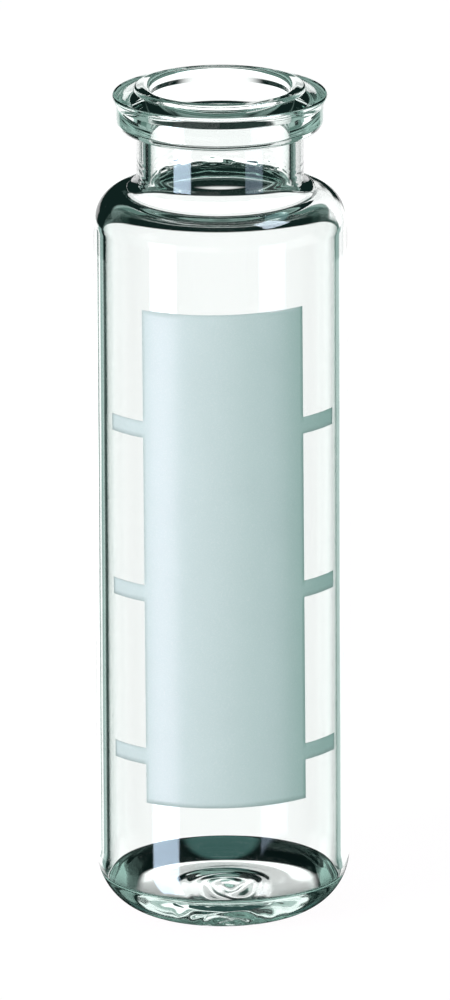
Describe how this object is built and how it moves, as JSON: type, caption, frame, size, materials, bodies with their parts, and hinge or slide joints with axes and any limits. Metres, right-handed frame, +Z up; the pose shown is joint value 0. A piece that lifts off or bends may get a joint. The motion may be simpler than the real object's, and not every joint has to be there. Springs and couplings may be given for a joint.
{
  "type": "glass sample vial",
  "caption": "Clear glass sample vial with a crimp-top neck, round shoulder and heel, pushed-up base and a printed write-on panel with volume lines.",
  "frame": {"origin": "middle of the base, on the surface the vial stands on", "axes": "+Z up along the vial's axis, -Y towards the print, +X to the right of someone facing the print"},
  "size_m": [0.0225, 0.0225, 0.0755],
  "materials": {
    "glass": "clear, fire-polished",
    "ink": "fine matt, pale grey"
  },
  "bodies": {
    "root": {"glass_vial": "glass", "vial_print": "ink"}
  },
  "joints": []
}
